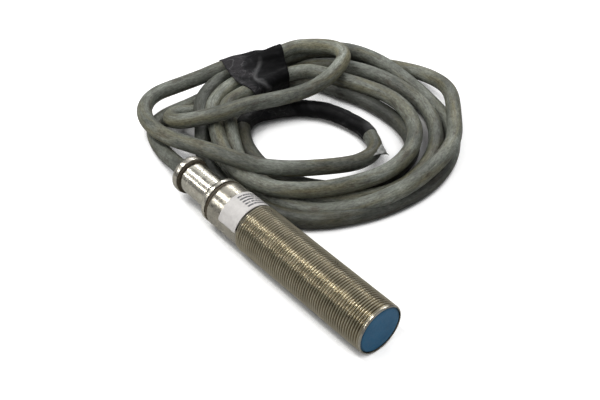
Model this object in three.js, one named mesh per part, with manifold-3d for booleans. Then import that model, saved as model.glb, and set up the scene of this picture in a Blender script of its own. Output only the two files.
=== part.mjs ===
// Inductive proximity sensor, M18x1, with a moulded-on PVC cable that is wound into a loose taped coil.
// Millimetres, +Z up. The barrel lies along X with its sensing face at +X and rests on Z = 0.

import * as THREE from 'three';
import { mergeVertices } from 'three/addons/utils/BufferGeometryUtils.js';
import Module from 'manifold-3d';

const wasm = await Module();
wasm.setup();

// ---- driving dimensions ---------------------------------------------------------------------------------

const LENGTH = 100;                     // sensing face to the end of the collar
const FRONT_X = LENGTH / 2;
const REAR_X = -LENGTH / 2;
const THREAD_R = 9;                     // M18, over the crests
const THREAD_LENGTH = 60;
const LIP = 0.7;                        // unthreaded rim in front of the first turn
const THREAD_REAR_X = FRONT_X - LIP - THREAD_LENGTH;
const PLAIN_R = 8.5;                    // sleeve behind the thread
const BORE_R = 7.8;
const SLEEVE_REAR_X = -26.9;
const AXIS_Z = THREAD_R;
const GAP = 0.3;                        // between pieces that touch
const ROUND = 48;                       // facets round the barrel
const THREAD_RUNOUT = 0.5;              // the last turn slopes down to the plain part over this length

const CAP_R = 8.25;
const CAP_FACE = 1;
const CAP_SKIRT_R = BORE_R - GAP;
const CAP_WALL = 0.7;
const CAP_LENGTH = 15;
const EDGE = 0.3;                       // bevel round the blue face
const CAP_CLEAR = 0.2;                  // dark gap between the blue face and the metal rim
const RIM_THICK = 0.25;

const LABEL = { from: -75, to: 150, length: 9, margin: 0.5, gap: 0.1, thick: 0.15 };

const SEAL_WIDTH = 1.4;
const SEAL_R = 8.35;
const FLANGE_X = SLEEVE_REAR_X - SEAL_WIDTH;
const FLANGE_WIDTH = 2.1;
const FLANGE_ROUND = 0.5;
const NECK_X = FLANGE_X - FLANGE_WIDTH;
const NECK_R = 5.9;
const NECK_REAR_X = -45.8;
const COLLAR_SEAL_R = 6.85;
const COLLAR_X = NECK_REAR_X - SEAL_WIDTH;
const COLLAR_R = 7.05;
const COLLAR_ROUND = 0.9;
const COLLAR_WALL = 0.9;
const TAIL_R = 4.6;
const TAIL_END_X = REAR_X + COLLAR_WALL + GAP;
const SPIGOT_R = BORE_R - GAP;
const SPIGOT_X = -22;
const BUSHING_WALL = 1.2;

const CABLE_R = 3;
const CABLE_CLEAR_R = CABLE_R + GAP;
const CABLE_START_X = -33;
const GROMMET_R = 4.4;

const BOARD = { x0: -20, x1: 34.5, width: 12, thick: 1.2 };
const POTTING = { x0: -21.6, x1: 33, r: 7.4 };
const CONDUCTOR_R = 0.75;
const CORE_CIRCLE = 1.3;                // the cores lie on this radius inside the jacket
const PAD_PITCH = 3.2;

const COIL_HEIGHT = 14.5;
const TAPE = { x: -87, y: 62, angle: 59, length: 26, width: 20, height: 16.4, wall: 0.8 };
const LOOP_TAPE_R = 3.75;

// ---- helpers --------------------------------------------------------------------------------------------

const part = new THREE.Group();

function material(color, roughness, metalness) {
  return new THREE.MeshStandardMaterial({ color, roughness, metalness });
}

const nickel = material(0xa8a294, 0.3, 1);
const polished = material(0xc4c0b8, 0.15, 1);
const bluePlastic = material(0x34526e, 0.5, 0);
const paper = material(0xd8d6d2, 0.6, 0);
const darkRubber = material(0x2a231c, 0.8, 0);
const ferrite = material(0x3a3a3c, 0.6, 0);
const whitePlastic = material(0xe6e2d6, 0.5, 0);
const copper = material(0xb87333, 0.35, 1);
const fibreglass = material(0x2f6b3c, 0.5, 0);
const blackEpoxy = material(0x1b1b1c, 0.5, 0);
const ceramic = material(0x9b7a55, 0.5, 0);
const resin = material(0x4b3a2a, 0.6, 0);
const greyPvc = material(0x6b6f66, 0.7, 0);
const blackTape = material(0x1c1d20, 0.5, 0);
const brownCore = material(0x5b3420, 0.5, 0);
const blueCore = material(0x2c5f9e, 0.5, 0);
const blackCore = material(0x202022, 0.5, 0);

function add(name, geometry, finish) {
  const mesh = new THREE.Mesh(geometry, finish);
  mesh.name = name;
  part.add(mesh);
}

// A solid of revolution about the barrel's axis; the outline is [x, radius] pairs, outer wall towards +X.
function turned(outline, facets = ROUND) {
  const profile = outline.map(([x, radius]) => new THREE.Vector2(radius, x));
  const geometry = new THREE.LatheGeometry(profile, facets);
  geometry.rotateZ(-Math.PI / 2);
  geometry.translate(0, 0, AXIS_Z);
  return geometry;
}

// A ring: the outline of its wall, closed on itself.
function ring(x0, x1, inner, outer, facets = ROUND) {
  return turned([[x0, outer], [x1, outer], [x1, inner], [x0, inner], [x0, outer]], facets);
}

function disc(x0, x1, radius, facets = ROUND) {
  return turned([[x0, 0], [x0, radius], [x1, radius], [x1, 0]], facets);
}

function box(x, y, z, length, width, height) {
  return new THREE.BoxGeometry(length, width, height).translate(x, y, z);
}

function circle(radius, sides, Kind = THREE.Shape) {
  const outline = new Kind();
  for (let i = 0; i < sides; i += 1) {
    const turn = (2 * Math.PI * i) / sides;
    const x = radius * Math.cos(turn);
    const y = radius * Math.sin(turn);
    if (i === 0) outline.moveTo(x, y);
    else outline.lineTo(x, y);
  }
  outline.closePath();
  return outline;
}

// A round tube along a smooth curve through the points; with an inner radius it is a sleeve.
function tube(points, radius, sides, steps, inner = 0) {
  const path = new THREE.CatmullRomCurve3(points.map((p) => new THREE.Vector3(...p)), false, 'centripetal');
  const section = circle(radius, sides);
  if (inner > 0) section.holes.push(circle(inner, sides, THREE.Path));
  return new THREE.ExtrudeGeometry(section, { steps, bevelEnabled: false, extrudePath: path });
}

function solid(geometry) {
  const bare = geometry.clone();
  bare.deleteAttribute('normal');
  bare.deleteAttribute('uv');
  const merged = mergeVertices(bare, 1e-4);
  const vertProperties = new Float32Array(merged.attributes.position.array);
  const triVerts = new Uint32Array(merged.index.array);
  return new wasm.Manifold(new wasm.Mesh({ numProp: 3, vertProperties, triVerts }));
}

function geometryOf(manifold) {
  const mesh = manifold.getMesh();
  const geometry = new THREE.BufferGeometry();
  geometry.setAttribute('position', new THREE.BufferAttribute(new Float32Array(mesh.vertProperties), 3));
  geometry.setIndex(new THREE.BufferAttribute(new Uint32Array(mesh.triVerts), 1));
  geometry.computeVertexNormals();
  return geometry;
}

function cut(geometry, tools) {
  return geometryOf(tools.reduce((body, tool) => body.subtract(solid(tool)), solid(geometry)));
}

// ---- barrel ---------------------------------------------------------------------------------------------

function threadedSleeve() {
  const counterbore = CAP_R + CAP_CLEAR;
  const lipR = counterbore + RIM_THICK;
  return turned([
    [SLEEVE_REAR_X, PLAIN_R],
    [THREAD_REAR_X, PLAIN_R],
    [THREAD_REAR_X + THREAD_RUNOUT, THREAD_R],
    [FRONT_X - LIP, THREAD_R],
    [FRONT_X, lipR],
    [FRONT_X, counterbore],
    [FRONT_X - CAP_FACE - GAP, counterbore],
    [FRONT_X - CAP_FACE - GAP, BORE_R],
    [SLEEVE_REAR_X, BORE_R],
    [SLEEVE_REAR_X, PLAIN_R],
  ]);
}

// A thin-walled cup: the face, and a skirt that goes down into the sleeve.
function sensingCap() {
  const skirtIn = CAP_SKIRT_R - CAP_WALL;
  const inside = FRONT_X - CAP_FACE;
  return turned([
    [inside, 0],
    [inside, skirtIn],
    [FRONT_X - CAP_LENGTH, skirtIn],
    [FRONT_X - CAP_LENGTH, CAP_SKIRT_R],
    [inside, CAP_SKIRT_R],
    [inside, CAP_R],
    [FRONT_X - EDGE, CAP_R],
    [FRONT_X, CAP_R - EDGE],
    [FRONT_X, 0],
  ]);
}

// The label covers the plain part from its near side, over the top, to the far side.
function typeLabel() {
  const outline = new THREE.Shape();
  const facet = 360 / ROUND;
  const inner = PLAIN_R + LABEL.gap;
  const outer = inner + LABEL.thick;
  const turns = [];
  for (let a = LABEL.from; a <= LABEL.to; a += facet) turns.push(THREE.MathUtils.degToRad(a));
  const rim = (radius, list) => list.map((a) => new THREE.Vector2(radius * Math.sin(a), radius * Math.cos(a)));
  outline.setFromPoints([...rim(outer, turns), ...rim(inner, turns.reverse())]);
  const geometry = new THREE.ExtrudeGeometry(outline, { depth: LABEL.length, bevelEnabled: false });
  // the section's x becomes +Y and its y becomes +Z, and the label is pulled out along +X
  geometry.applyMatrix4(new THREE.Matrix4().makeBasis(
    new THREE.Vector3(0, 1, 0), new THREE.Vector3(0, 0, 1), new THREE.Vector3(1, 0, 0)));
  return geometry.translate(THREAD_REAR_X - LABEL.margin - LABEL.length, 0, AXIS_Z);
}

add('threaded_sleeve', threadedSleeve(), nickel);
add('sensing_cap', sensingCap(), bluePlastic);
add('type_label', typeLabel(), paper);

// ---- rear end -------------------------------------------------------------------------------------------

// One turned piece: a spigot inside the sleeve, the flange, the neck, and a tail through the collar.
function rearBushing() {
  const step = 1;
  return turned([
    [TAIL_END_X, TAIL_R],
    [NECK_REAR_X, TAIL_R],
    [NECK_REAR_X, NECK_R],
    [NECK_X, NECK_R],
    [NECK_X, PLAIN_R - FLANGE_ROUND],
    [NECK_X + FLANGE_ROUND, PLAIN_R],
    [FLANGE_X - GAP / 2, PLAIN_R],
    [FLANGE_X - GAP / 2, SPIGOT_R],
    [SPIGOT_X, SPIGOT_R],
    [SPIGOT_X, SPIGOT_R - BUSHING_WALL],
    [CABLE_START_X + step, SPIGOT_R - BUSHING_WALL],
    [CABLE_START_X - step, GROMMET_R + GAP],
    [NECK_REAR_X + BUSHING_WALL, GROMMET_R + GAP],
    [NECK_REAR_X + BUSHING_WALL, CABLE_CLEAR_R],
    [TAIL_END_X, CABLE_CLEAR_R],
    [TAIL_END_X, TAIL_R],
  ]);
}

function endCollar() {
  const bore = TAIL_R + GAP;
  const hole = CABLE_CLEAR_R + 0.1;
  return turned([
    [REAR_X, COLLAR_R - COLLAR_ROUND],
    [REAR_X + COLLAR_ROUND * 0.3, COLLAR_R - COLLAR_ROUND * 0.3],
    [REAR_X + COLLAR_ROUND, COLLAR_R],
    [COLLAR_X - GAP / 2, COLLAR_R],
    [COLLAR_X - GAP / 2, bore],
    [REAR_X + COLLAR_WALL, bore],
    [REAR_X + COLLAR_WALL, hole],
    [REAR_X, hole],
    [REAR_X, COLLAR_R - COLLAR_ROUND],
  ]);
}

const halfGap = GAP / 2;
const GROMMET_X = [NECK_REAR_X + BUSHING_WALL + GAP + 0.1, CABLE_START_X - 1.4];
add('rear_bushing', rearBushing(), polished);
add('sleeve_seal_ring', ring(FLANGE_X + halfGap, SLEEVE_REAR_X - halfGap, SPIGOT_R + GAP, SEAL_R), darkRubber);
add('collar_seal_ring', ring(COLLAR_X + halfGap, NECK_REAR_X - halfGap, TAIL_R + GAP, COLLAR_SEAL_R), darkRubber);
add('end_collar', endCollar(), polished);
add('cable_grommet', ring(...GROMMET_X, CABLE_CLEAR_R, GROMMET_R, 24), darkRubber);

// ---- coil and core behind the cap -----------------------------------------------------------------------

const CORE = { x0: 42.3, x1: FRONT_X - CAP_FACE - GAP, r: 6.4, post: 2.7, slot: 5.3, floor: 1.5, bore: 1 };
const BOBBIN = { x0: CORE.x0 + CORE.floor + GAP, x1: CORE.x1 - GAP, hub: 3.5, flange: 0.5 };
const LEAD = { y: 4.2, r: 0.25, notch: 1.1, rise: 1.5, landing: 2 };
const WINDING_CLEAR = 0.2;

function ferriteCore() {
  const core = turned([
    [CORE.x0, CORE.bore],
    [CORE.x0, CORE.r],
    [CORE.x1, CORE.r],
    [CORE.x1, CORE.slot],
    [CORE.x0 + CORE.floor, CORE.slot],
    [CORE.x0 + CORE.floor, CORE.post],
    [CORE.x1, CORE.post],
    [CORE.x1, CORE.bore],
    [CORE.x0, CORE.bore],
  ], 32);
  const notch = (side) => box(CORE.x0, side * LEAD.y, AXIS_Z, 4, LEAD.notch, LEAD.notch);
  return cut(core, [notch(-1), notch(1)]);
}

function coilBobbin() {
  const bore = CORE.post + GAP;
  const rim = CORE.slot - GAP;
  return turned([
    [BOBBIN.x0, bore],
    [BOBBIN.x0, rim],
    [BOBBIN.x0 + BOBBIN.flange, rim],
    [BOBBIN.x0 + BOBBIN.flange, BOBBIN.hub],
    [BOBBIN.x1 - BOBBIN.flange, BOBBIN.hub],
    [BOBBIN.x1 - BOBBIN.flange, rim],
    [BOBBIN.x1, rim],
    [BOBBIN.x1, bore],
    [BOBBIN.x0, bore],
  ], 32);
}

function coilLead(side) {
  const y = side * LEAD.y;
  const pad = AXIS_Z + BOARD.thick / 2 + GAP + LEAD.r;
  return tube([
    [BOBBIN.x0 - GAP, y, AXIS_Z],
    [CORE.x0 - LEAD.rise, y, AXIS_Z],
    [BOARD.x1 + LEAD.landing, y, pad],
    [BOARD.x1 - LEAD.rise, y, pad],
  ], LEAD.r, 6, 12);
}

const WINDING = { inner: BOBBIN.hub + WINDING_CLEAR, outer: CORE.slot - 2 * GAP };
const WINDING_X = [BOBBIN.x0 + BOBBIN.flange + WINDING_CLEAR, BOBBIN.x1 - BOBBIN.flange - WINDING_CLEAR];
add('ferrite_core', ferriteCore(), ferrite);
add('coil_bobbin', coilBobbin(), whitePlastic);
add('sensing_coil', ring(...WINDING_X, WINDING.inner, WINDING.outer, 32), copper);
add('coil_lead_start', coilLead(-1), copper);
add('coil_lead_end', coilLead(1), copper);

// ---- circuit board and its parts ------------------------------------------------------------------------

// name, x, y, side of the board, length, width, height
const BOARD_PARTS = [
  ['oscillator_ic', 16, 0, 1, 8.7, 4, 1.6, blackEpoxy],
  ['output_transistor', -4, 1.2, 1, 6.5, 3.5, 1.6, blackEpoxy],
  ['resonance_capacitor', 25, -1, 1, 3.2, 2.5, 1.4, ceramic],
  ['tuning_resistor', 25, 2.6, 1, 3.2, 1.6, 0.6, blackEpoxy],
  ['feedback_resistor', 6, 0, 1, 3.2, 1.6, 0.6, blackEpoxy],
  ['buffer_capacitor', -6, 0, -1, 7.3, 4.3, 2.8, ceramic],
  ['polarity_diode', 6, 1.5, -1, 4.3, 2.6, 2, blackEpoxy],
  ['clamp_diode', 16, -1.5, -1, 4.3, 2.6, 2, blackEpoxy],
];

function boardPart([, x, y, side, length, width, height], grow = 0) {
  const z = AXIS_Z + side * (BOARD.thick / 2 + GAP + height / 2);
  return box(x, y, z, length + 2 * grow, width + 2 * grow, height + 2 * grow);
}

function circuitBoard(grow = 0) {
  const length = BOARD.x1 - BOARD.x0;
  const middle = (BOARD.x0 + BOARD.x1) / 2;
  return box(middle, 0, AXIS_Z, length + 2 * grow, BOARD.width + 2 * grow, BOARD.thick + 2 * grow);
}

add('circuit_board', circuitBoard(), fibreglass);
for (const item of BOARD_PARTS) add(item[0], boardPart(item), item[7]);

// ---- the cable's three cores ----------------------------------------------------------------------------

// Each runs from the stripped jacket to a pad on the rear end of the board.
const CORE_PAD = 3.5;
const CORE_STRAIGHT = 3;
function conductor(index, radius = CONDUCTOR_R) {
  const turn = (2 * Math.PI * index) / 3 + Math.PI / 2;
  const start = [CABLE_START_X + GAP, CORE_CIRCLE * Math.cos(turn), AXIS_Z + CORE_CIRCLE * Math.sin(turn)];
  const padY = PAD_PITCH * Math.round(Math.cos(turn));
  const pad = [BOARD.x0 + CORE_PAD, padY, AXIS_Z + BOARD.thick / 2 + GAP + CONDUCTOR_R];
  return tube([
    start,
    [start[0] + CORE_STRAIGHT, start[1], start[2]],
    [BOARD.x0 - CORE_STRAIGHT, pad[1], pad[2]],
    [BOARD.x0 - 1, pad[1], pad[2]],
    pad,
  ], radius, 8, 12);
}

add('conductor_brown', conductor(2), brownCore);
add('conductor_blue', conductor(0), blueCore);
add('conductor_black', conductor(1), blackCore);

// Resin fills the sleeve round the board, and is open where the board and the cores come out of it.
function pottingCompound() {
  const block = disc(POTTING.x0, POTTING.x1, POTTING.r, 32);
  const held = [circuitBoard(GAP), ...BOARD_PARTS.map((item) => boardPart(item, GAP))];
  for (const index of [0, 1, 2]) held.push(conductor(index, CONDUCTOR_R + GAP));
  for (const side of [-1, 1]) {
    held.push(box(POTTING.x1, side * LEAD.y, AXIS_Z + 1.2, 3, LEAD.notch, 2));
  }
  return cut(block, held);
}

add('potting_compound', pottingCompound(), resin);

// ---- the cable ------------------------------------------------------------------------------------------

// The lead: straight out of the collar, then down to the surface, where the coil takes over.
const LEAD_ROUTE = [
  [CABLE_START_X, 0, 9], [-41, 0, 9], [-50, 0, 9], [-54, 0.1, 8.8], [-58, 0.9, 7.7], [-62.5, 2.1, 6],
];

// One inner strand leaves the coil, turns back on itself in a tight bight and joins it again.
const INNER_STRAND = [
  [-65.8, 46.5], [-63.5, 54], [-58.5, 62], [-51.5, 68], [-44, 70.3], [-36, 71.2], [-29, 70.8],
  [-23.5, 68.3], [-19.3, 64], [-17.8, 58.5], [-17.9, 56],
];
const INNER_HEIGHT = 4.2;

// The coil's outline on the surface, and the opening in its middle.
const COIL_OUTSIDE = [
  [-86, 4.2], [-72, 4.7], [-60, 8], [-46, 12.5], [-20, 12.8], [-6, 14.5], [1, 24], [7, 38], [9.4, 54],
  [9.3, 66], [7, 79], [1, 92], [-9, 104], [-22, 114], [-35, 120.3], [-47, 122.2], [-57, 116],
  [-68, 112], [-76, 106.5], [-82, 96], [-85.5, 86], [-89.5, 76.5], [-95.2, 67], [-100.5, 57],
  [-102.5, 45], [-102.6, 32], [-102.2, 20], [-96.5, 9],
];
const COIL_OPENING = [
  [-19, 47], [-14.2, 54], [-13.2, 63], [-15.3, 71], [-20, 77.5], [-26, 81.5], [-33, 83.5], [-41, 84],
  [-48, 82.5], [-55, 79], [-62, 73], [-67.5, 65], [-70.5, 55], [-70.5, 45], [-64, 39], [-53, 33.5],
  [-42, 30], [-32, 32.5], [-25, 40],
];

function closedCurve(points, count) {
  const curve = new THREE.CatmullRomCurve3(points.map(([x, y]) => new THREE.Vector3(x, y, 0)), true);
  return curve.getSpacedPoints(count).slice(0, -1).map((p) => new THREE.Vector2(p.x, p.y));
}

// A band round the bundle, square to the strands that it holds.
function bandBox(length, width, bottom, top) {
  const geometry = new THREE.BoxGeometry(length, width, top - bottom);
  geometry.rotateZ(THREE.MathUtils.degToRad(TAPE.angle));
  return geometry.translate(TAPE.x, TAPE.y, (bottom + top) / 2);
}

function band(grow) {
  const { length, width, height, wall } = TAPE;
  const outer = bandBox(length + 2 * grow, width + 2 * grow, -grow, height + grow);
  const inside = width - 2 * (wall + grow);
  const inner = bandBox(length + 4, inside, wall + grow, height - wall - grow);
  return cut(outer, [inner]);
}

function cableCoil() {
  const outline = new THREE.Shape(closedCurve(COIL_OUTSIDE, 72));
  outline.holes.push(new THREE.Path(closedCurve(COIL_OPENING, 44)));
  const coil = new THREE.ExtrudeGeometry(outline, { depth: COIL_HEIGHT, bevelEnabled: false });
  return cut(coil, [band(GAP)]);
}

const strand = INNER_STRAND.map(([x, y]) => [x, y, INNER_HEIGHT]);
add('cable_lead', tube(LEAD_ROUTE, CABLE_R, 12, 12), greyPvc);
add('cable_inner_strand', tube(strand, CABLE_R, 8, 24), greyPvc);
add('cable_coil', cableCoil(), greyPvc);
add('bundle_tape', band(0), blackTape);
add('loop_tape', tube(strand.slice(1, 8), LOOP_TAPE_R, 12, 14, CABLE_CLEAR_R), blackTape);

export default part;
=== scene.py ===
import math

import bmesh
import bpy
import numpy as np
from mathutils import Matrix, Vector, noise


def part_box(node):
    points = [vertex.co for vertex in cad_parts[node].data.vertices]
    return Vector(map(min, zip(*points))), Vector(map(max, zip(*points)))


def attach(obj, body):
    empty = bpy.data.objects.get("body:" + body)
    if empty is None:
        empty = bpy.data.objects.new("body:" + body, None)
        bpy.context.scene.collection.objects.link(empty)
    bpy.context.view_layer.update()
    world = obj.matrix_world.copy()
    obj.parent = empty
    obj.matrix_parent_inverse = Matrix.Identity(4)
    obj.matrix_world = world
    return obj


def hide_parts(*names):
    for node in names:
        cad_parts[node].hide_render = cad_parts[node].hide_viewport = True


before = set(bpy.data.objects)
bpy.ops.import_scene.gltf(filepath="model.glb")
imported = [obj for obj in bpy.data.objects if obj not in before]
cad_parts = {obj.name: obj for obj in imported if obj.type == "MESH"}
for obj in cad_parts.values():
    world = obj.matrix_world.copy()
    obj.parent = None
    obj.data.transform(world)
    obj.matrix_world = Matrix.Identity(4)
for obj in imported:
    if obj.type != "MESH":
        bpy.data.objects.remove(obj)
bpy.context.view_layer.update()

MM = 0.001
AXIS_Z = 9.0
scene = bpy.context.scene
scene.view_settings.view_transform = "Standard"

# ---- camera: high over the barrel's face, looking back along it to the coil --------------------------------

CAMERA_AT = (0.18374, -0.14833, 0.23520)
CAMERA_DOWN = 41.191          # degrees below level
CAMERA_TURN = 49.094
CAMERA_LENS = 58.78

camera_data = bpy.data.cameras.new("camera")
camera_data.sensor_width = 36.0
camera_data.lens = CAMERA_LENS
camera_data.clip_start = 0.01
camera = bpy.data.objects.new("camera", camera_data)
camera.location = CAMERA_AT
camera.rotation_euler = (math.radians(90 - CAMERA_DOWN), 0, math.radians(CAMERA_TURN))
scene.collection.objects.link(camera)
scene.camera = camera

# ---- the cord's route --------------------------------------------------------------------------------------

CORD_R = 3.0

# The turns go round this centre; each is a list of reaches and heights in mm at these bearings.
TURN_CENTRE = (-42.0, 62.0)
BEARINGS = range(150, -151, -20)

# The tape pinches the strands here; a slot is a place across the bundle, from its left to its right.
TAPE_NEAR = Vector((-84.5, 48.3, 0))
TAPE_FAR = Vector((-80.3, 71.5, 0))
TAPE_ALONG = (TAPE_FAR - TAPE_NEAR).normalized()
TAPE_ACROSS = Vector((TAPE_ALONG.y, -TAPE_ALONG.x, 0))
THROUGH = 3                   # a strand's way through the tape is split into this many steps


def turn(reaches, heights):
    """A turn's points from its reaches and heights at the bearings."""
    points = []
    for bearing, reach, height in zip(BEARINGS, reaches, heights):
        a = math.radians(bearing)
        points.append((TURN_CENTRE[0] + reach * math.cos(a), TURN_CENTRE[1] + reach * math.sin(a), height))
    return points


def through_tape(slot_in, height_in, slot_out, height_out, steps=THROUGH):
    """A strand's points under the tape; with fewer steps it ends there."""
    start = TAPE_NEAR + TAPE_ACROSS * slot_in
    end = TAPE_FAR + TAPE_ACROSS * slot_out
    points = []
    for i in range(steps + 1):
        t = i / THROUGH
        ease = t * t * (3 - 2 * t)
        p = start.lerp(end, t)
        points.append((p.x, p.y, height_in + (height_out - height_in) * ease))
    return points


# the cable lead leaves the collar straight, then bends down to the surface
LEAD = [(-33, 0, 9), (-41, 0, 9), (-50, 0, 9), (-54, 0.1, 8.8), (-58, 0.9, 7.7), (-62.5, 2.1, 6)]
LEAD_TO_TAPE = [(-67.5, 3.3, 4.3), (-73, 4.5, 3.2), (-79, 6.1, 3), (-84.8, 8.7, 3), (-89, 13, 3),
                (-90.4, 18.5, 3), (-90.2, 24.5, 3), (-89.8, 30, 3), (-89.9, 36, 3), (-90.2, 42, 3)]

OUTER_TURN = turn([46.5, 49, 50.6, 53.2, 52, 48.7, 49.2, 48.6, 49.8, 49.3, 49.6, 47.5, 46.6, 44.5, 41, 38],
                  [3, 3, 3, 5, 8.6, 9.4, 9, 8.6, 8, 4.6, 3.2, 3, 3, 3, 3, 3])
MIDDLE_TURN = turn([40.5, 39.6, 38.7, 38.2, 39.6, 41.4, 42.8, 43.8, 44.9, 43.6, 42.6, 41.9, 41.2, 38.8, 39],
                   [5.5, 6, 6, 6, 5.8, 5, 4.4, 4, 3.6, 3.2, 3, 3, 3, 5.5, 8])
MIDDLE_TURN += [(-73.2, 35.2, 8.4), (-75.2, 40, 8.8), (-75.4, 43.6, 9)]
INNER_TURN = turn([33, 27.6, 26, 27, 29, 31.6, 34.6, 37.4, 39.8, 41.6, 44.5, 48, 46.8, 44.2, 44.6],
                  [8, 8, 8, 8.2, 8.5, 8.8, 9, 9, 9, 9, 8.6, 8.4, 8.2, 8.2, 8.2])
INNER_TURN += [(-76.8, 31.2, 8.2), (-80.4, 37.2, 8.8), (-82.2, 42.6, 9)]
EDGE_TURN = turn([46, 48, 45.2, 44, 45.4, 48, 49.2, 49.7, 50.2, 51.8, 54.6, 53.2, 52.4, 50.9, 49.4],
                 [8.5, 9, 8.2, 5.4, 3.2, 3, 3, 3, 3, 3, 3, 3, 3, 3, 5.2])
EDGE_TURN += [(-80.8, 29, 8.6), (-85.8, 36.4, 9.2), (-88.2, 42.6, 9.1)]

# the loop that stands over the others and turns back on itself at the left
TOP_LOOP = [(-81.5, 78.7, 14.4), (-77.1, 85.2, 14.4), (-73.8, 88.6, 14.4), (-70.4, 91, 14.4),
            (-67, 91.8, 14.3), (-63.8, 90.4, 14.2), (-61.2, 87.1, 14), (-58.6, 81.8, 14), (-56.9, 75, 13.2),
            (-57, 67.7, 12), (-59.2, 60, 11), (-61.2, 53.5, 11), (-62.6, 46, 12), (-63.4, 38.5, 13.6),
            (-63.9, 29.5, 14.6), (-66.3, 23, 14.2), (-70.5, 18.6, 12.2), (-74.8, 15.7, 10.4),
            (-78.6, 14.1, 9), (-81.9, 14.6, 8.2), (-84.1, 17.3, 7.6), (-84.8, 21.5, 6.2), (-84.3, 26, 4.2),
            (-83.6, 30.6, 3.1), (-83.2, 36, 3), (-83.4, 41.8, 3)]
# the lowest turn, on the surface under the others
LOW_TURN = [(-70, 77.5, 3.3), (-64.5, 80.4, 3), (-57.1, 82.6, 3), (-47.5, 85.4, 3), (-36.4, 86.2, 3),
            (-26.6, 85.4, 3), (-18, 82.6, 3), (-11.2, 77.5, 3), (-7, 70, 3), (-5.6, 61, 3), (-6.2, 52.2, 3),
            (-9.2, 44.4, 3), (-14.2, 37.9, 3), (-21, 32.6, 3), (-29.5, 28.8, 3), (-40, 27.4, 3),
            (-49.5, 29, 3), (-56.4, 31.6, 3.1), (-62.7, 35.6, 3.5), (-66.2, 40.2, 3.7)]
# the taped stretch that leaves the coil, and its tight bight
TAPED = [(-66.6, 44.6, 3.8), (-65, 49.4, 4), (-60.9, 58, 4), (-56, 63.8, 4), (-50.4, 68, 4),
         (-44.1, 69.9, 4), (-37, 71, 4), (-29.8, 71, 4), (-24.3, 69, 4), (-18.5, 64.8, 4.8), (-15.9, 58.8, 6)]
# the last stretch comes back over everything and ends under the tape
RETURN = [(-15.2, 51.6, 7.5), (-16.6, 45, 8.8), (-20.2, 38, 9.4), (-24.2, 31.5, 9.8), (-28.2, 25.6, 10.6),
          (-32.2, 20.4, 11.8), (-36.4, 16.2, 13.4), (-41.8, 13, 14.2), (-47.8, 10.8, 14), (-54.4, 9.2, 13),
          (-61.6, 7.6, 11.8), (-69, 6, 10.6), (-77.6, 5.6, 9.6), (-85.7, 6.9, 9), (-91.8, 9.6, 9),
          (-96.1, 14.4, 9), (-98, 19.8, 9), (-97.4, 25.4, 9.2), (-95.7, 31.9, 9.8), (-93.8, 39.5, 10.7)]

# each stretch: its points, and the painted light and shade on its jacket there: above 1 lightens it
# as painted light where it lies high, below 1 darkens it as painted shade where it lies low or under others
STRETCHES = [
    (LEAD + LEAD_TO_TAPE, 0.85),
    (through_tape(-6, 3, -6, 3), 0.7),
    (OUTER_TURN, 1.08),
    (through_tape(6.8, 3, 0, 3), 0.7),
    (MIDDLE_TURN, 0.95),
    (through_tape(9.2, 9, 5.5, 8.2), 1.55),
    (INNER_TURN, 1.05),
    (through_tape(1.4, 9, -5.5, 8.4), 1.55),
    (EDGE_TURN[:7], 1.0),
    (EDGE_TURN[7:], 0.5),
    (through_tape(-5.5, 9.4, -1.8, 14.4), 1.2),
    (TOP_LOOP[:8], 1.4),
    (TOP_LOOP[8:], 1.05),
    (through_tape(0.4, 3, 5.8, 3), 0.7),
    (LOW_TURN, 0.42),
    (TAPED, 0.75),
    (RETURN[:2], 0.55),
    (RETURN[2:], 1.0),
    (through_tape(-7.7, 11.7, -6, 11.6, steps=2), 1.0),
]


def smooth_line(knots, step, splits=16):
    """Points at an even spacing along a centripetal Catmull-Rom curve, and their place in the knots."""
    knots = np.array(knots, float)
    padded = np.vstack([2 * knots[0] - knots[1], knots, 2 * knots[-1] - knots[-2]])
    dense, places = [], []
    for i in range(1, len(padded) - 2):
        a, b, c, d = padded[i - 1:i + 3]
        t1 = np.linalg.norm(b - a) ** 0.5
        t2 = t1 + np.linalg.norm(c - b) ** 0.5
        t3 = t2 + np.linalg.norm(d - c) ** 0.5
        for t in np.linspace(t1, t2, splits, endpoint=False):
            ab = (t1 - t) / t1 * a + t / t1 * b
            bc = (t2 - t) / (t2 - t1) * b + (t - t1) / (t2 - t1) * c
            cd = (t3 - t) / (t3 - t2) * c + (t - t2) / (t3 - t2) * d
            abc = (t2 - t) / t2 * ab + t / t2 * bc
            bcd = (t3 - t) / (t3 - t1) * bc + (t - t1) / (t3 - t1) * cd
            dense.append((t2 - t) / (t2 - t1) * abc + (t - t1) / (t2 - t1) * bcd)
            places.append(i - 1 + (t - t1) / (t2 - t1))
    dense.append(knots[-1])
    places.append(len(knots) - 1)
    dense = np.array(dense)
    run = np.concatenate([[0], np.cumsum(np.linalg.norm(np.diff(dense, axis=0), axis=1))])
    even = np.linspace(0, run[-1], int(run[-1] / step) + 1)
    line = np.stack([np.interp(even, run, dense[:, k]) for k in range(3)], 1)
    return line, np.interp(even, run, places)


HELD = 16                     # the points of the straight start that relax() leaves where they are


def relax(line, rounds):
    """Takes the kinks out of a line and keeps its straight start and its end."""
    line = line.copy()
    for _ in range(rounds):
        line[HELD:-1] += 0.5 * ((line[HELD - 1:-2] + line[HELD + 1:]) / 2 - line[HELD:-1])
    return line


def frames(line):
    """A pair of directions square to the line at each point, turned as little as possible."""
    tangent = np.gradient(line, axis=0)
    tangent /= np.linalg.norm(tangent, axis=1)[:, None]
    side = np.cross(tangent[0], (0, 0, 1.0))
    sides = []
    for t in tangent:
        side = side - t * (side @ t)
        side /= np.linalg.norm(side)
        sides.append(side)
    sides = np.array(sides)
    return sides, np.cross(tangent, sides)


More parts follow.
